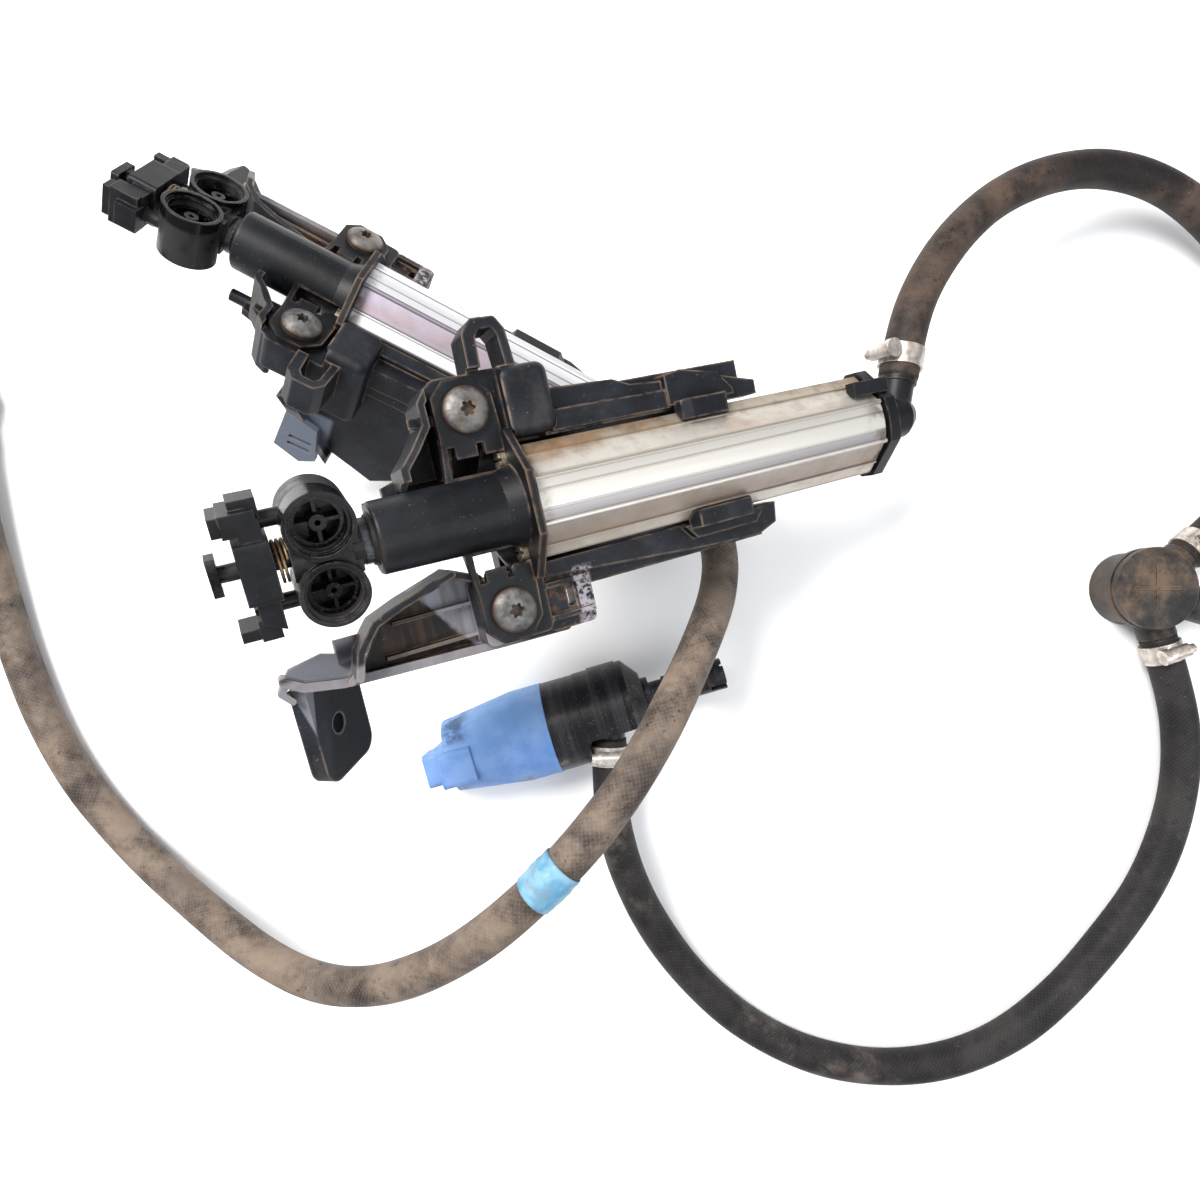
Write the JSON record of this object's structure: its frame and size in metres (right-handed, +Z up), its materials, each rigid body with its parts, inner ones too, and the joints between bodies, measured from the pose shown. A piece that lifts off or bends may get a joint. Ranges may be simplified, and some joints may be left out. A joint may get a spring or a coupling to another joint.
{
  "type": "headlamp washer hydraulic arm kit",
  "caption": "Mirrored telescopic washer jets in moulded brackets with aluminium cylinders, a washer pump, rubber hoses and a tee valve.",
  "frame": {"origin": "centre of the bottom of the box round the two units and the pump, on the surface they lie on", "axes": "+Z up from that surface, +X to the right and +Y away, as the kit is laid out"},
  "size_m": [0.5942, 0.3991, 0.1593],
  "materials": {
    "bracket_plastic": "moulded, dusty",
    "extruded_aluminium": "extruded, stained",
    "sleeve_plastic": "moulded satin",
    "seal_rubber": "moulded",
    "rod_steel": "ground",
    "inner_plastic": "moulded",
    "spring_steel": "drawn wire",
    "nozzle_plastic": "gloss, dusty",
    "jet_plastic": "gloss",
    "carrier_plastic": "moulded, dusty",
    "cap_plastic": "moulded",
    "clamp_steel": "pressed strip, tarnished",
    "screw_steel": "plated, worn",
    "pump_blue": "moulded, scuffed",
    "brass_terminal": "stamped",
    "pump_black": "moulded",
    "magnet": "sintered",
    "armature_steel": "laminated",
    "valve_plastic": "moulded",
    "hose_rubber": "ribbed cover, dusty",
    "marker_blue": "wrapped tape"
  },
  "bodies": {
    "root": {"bracket_a": "bracket_plastic", "cylinder_body_a": "extruded_aluminium", "guide_sleeve_a": "sleeve_plastic", "rod_wiper_seal_a": "seal_rubber", "return_spring_a": "spring_steel", "cap_gasket_a": "seal_rubber", "rear_cap_a": "cap_plastic", "hose_clamp_a": "clamp_steel", "ear_screws_a": "screw_steel", "flange_screws_a": "screw_steel", "cap_screws_a": "screw_steel", "bracket_b": "bracket_plastic", "cylinder_body_b": "extruded_aluminium", "guide_sleeve_b": "sleeve_plastic", "rod_wiper_seal_b": "seal_rubber", "return_spring_b": "spring_steel", "cap_gasket_b": "seal_rubber", "rear_cap_b": "cap_plastic", "hose_clamp_b": "clamp_steel", "ear_screws_b": "screw_steel", "flange_screws_b": "screw_steel", "cap_screws_b": "screw_steel", "pump_connector_cap": "pump_blue", "pump_terminals": "brass_terminal", "pump_motor_housing": "pump_black", "pump_magnets": "magnet", "pump_shaft_seal": "seal_rubber", "pump_head": "pump_black", "inlet_strainer": "pump_black", "pump_hose_clamp": "clamp_steel", "valve_body": "valve_plastic", "valve_cover": "valve_plastic", "valve_spring": "spring_steel", "valve_clamp_hose_a": "clamp_steel", "valve_clamp_hose_c": "clamp_steel", "connector_body": "valve_plastic", "connector_seal": "seal_rubber", "connector_clamp": "clamp_steel", "hose_a": "hose_rubber", "hose_b": "hose_rubber", "hose_c": "hose_rubber", "marker_band": "marker_blue"},
    "rod_a": {"piston_rod_a": "rod_steel", "piston_a": "inner_plastic", "piston_seal_a": "seal_rubber", "nozzle_head_a": "nozzle_plastic", "jet_inserts_a": "jet_plastic", "carrier_spring_a": "spring_steel"},
    "rod_b": {"piston_rod_b": "rod_steel", "piston_b": "inner_plastic", "piston_seal_b": "seal_rubber", "nozzle_head_b": "nozzle_plastic", "jet_inserts_b": "jet_plastic", "carrier_spring_b": "spring_steel"},
    "carrier_a": {"cover_carrier_a": "carrier_plastic"},
    "carrier_b": {"cover_carrier_b": "carrier_plastic"},
    "pump_rotor": {"pump_armature": "armature_steel", "pump_impeller": "inner_plastic"},
    "valve_disc": {"valve_disc": "inner_plastic"},
    "connector_latch": {"connector_latch": "jet_plastic"}
  },
  "joints": [
    {"name": "rod_a_extend", "type": "slide", "parent": "root", "child": "rod_a", "axis": [-0.8912, -0.2606, 0.3714], "range_m": [0, 0.075], "stiffness_N_per_m": 60, "deforming": ["return_spring_a"]},
    {"name": "carrier_a_float", "type": "slide", "parent": "rod_a", "child": "carrier_a", "axis": [-0.8912, -0.2606, 0.3714], "range_m": [-0.001, 0.001], "stiffness_N_per_m": 800, "deforming": ["carrier_spring_a"]},
    {"name": "rod_b_extend", "type": "slide", "parent": "root", "child": "rod_b", "axis": [-0.8801, 0.4085, 0.2419], "range_m": [0, 0.075], "stiffness_N_per_m": 60, "deforming": ["return_spring_b"]},
    {"name": "carrier_b_float", "type": "slide", "parent": "rod_b", "child": "carrier_b", "axis": [-0.8801, 0.4085, 0.2419], "range_m": [-0.001, 0.001], "stiffness_N_per_m": 800, "deforming": ["carrier_spring_b"]},
    {"name": "pump_spin", "type": "hinge", "parent": "root", "child": "pump_rotor", "pos_m": [0.0045, -0.10664, 0.0199], "axis": [0.9613, 0.2756, 0], "continuous": true},
    {"name": "valve_lift", "type": "slide", "parent": "root", "child": "valve_disc", "axis": [0, 0, 1], "range_m": [0, 0.003], "stiffness_N_per_m": 200, "deforming": ["valve_spring"]},
    {"name": "latch_press", "type": "slide", "parent": "root", "child": "connector_latch", "axis": [-0.1334, 0.9909, 0.0152], "range_m": [0, 0.0018], "stiffness_N_per_m": 500}
  ]
}
